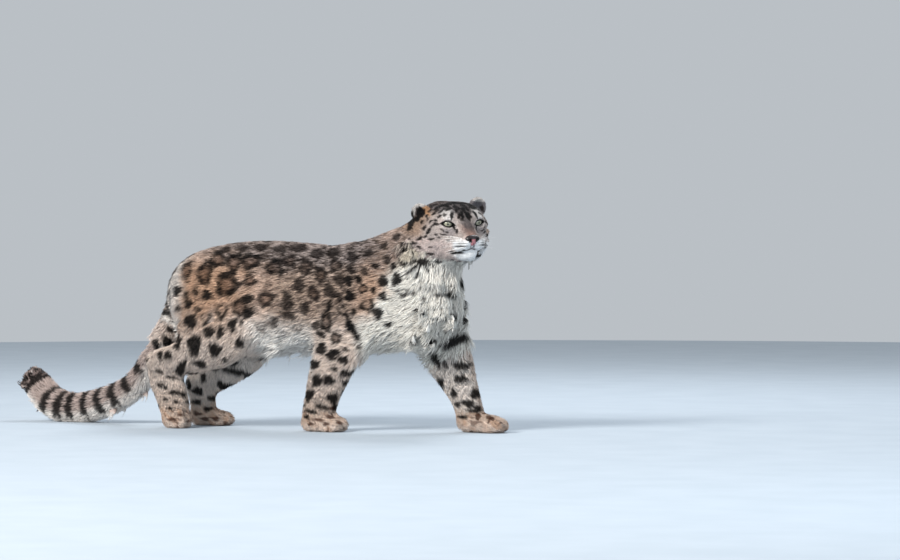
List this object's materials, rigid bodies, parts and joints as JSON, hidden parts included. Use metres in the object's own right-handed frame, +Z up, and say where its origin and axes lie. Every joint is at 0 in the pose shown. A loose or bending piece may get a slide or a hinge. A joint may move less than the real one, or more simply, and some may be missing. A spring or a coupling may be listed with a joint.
{
  "type": "snow leopard",
  "caption": "Life-size snow leopard still model in mid stride, head turned to its right, long thick tail low behind it.",
  "frame": {"origin": "middle of the whole box at floor level, under the paws", "axes": "+X along the spine towards the chest, +Y to the animal's left, +Z up"},
  "size_m": [1.6328, 0.3282, 0.6671],
  "materials": {
    "ear_left": "matt fur",
    "ear_right": "matt fur",
    "eye_left": "clear polished",
    "eye_right": "clear polished",
    "foreleg_left": "matt fur",
    "foreleg_right": "matt fur",
    "forepaw_left": "matt fur",
    "forepaw_right": "matt fur",
    "head": "matt fur",
    "hindpaw_left": "matt fur",
    "hindpaw_right": "matt fur",
    "hock_left": "matt fur",
    "hock_right": "matt fur",
    "neck": "matt fur",
    "nose": "satin",
    "tail_bend": "matt fur",
    "tail_middle": "matt fur",
    "tail_root": "matt fur",
    "tail_tip": "matt fur",
    "thigh_left": "matt fur",
    "thigh_right": "matt fur",
    "torso_front": "matt fur",
    "torso_middle": "matt fur",
    "torso_rear": "matt fur"
  },
  "bodies": {
    "root": {"ear_left": "ear_left", "ear_right": "ear_right", "eye_left": "eye_left", "eye_right": "eye_right", "foreleg_left": "foreleg_left", "foreleg_right": "foreleg_right", "forepaw_left": "forepaw_left", "forepaw_right": "forepaw_right", "head": "head", "hindpaw_left": "hindpaw_left", "hindpaw_right": "hindpaw_right", "hock_left": "hock_left", "hock_right": "hock_right", "neck": "neck", "nose": "nose", "tail_bend": "tail_bend", "tail_middle": "tail_middle", "tail_root": "tail_root", "tail_tip": "tail_tip", "thigh_left": "thigh_left", "thigh_right": "thigh_right", "torso_front": "torso_front", "torso_middle": "torso_middle", "torso_rear": "torso_rear"}
  },
  "joints": []
}
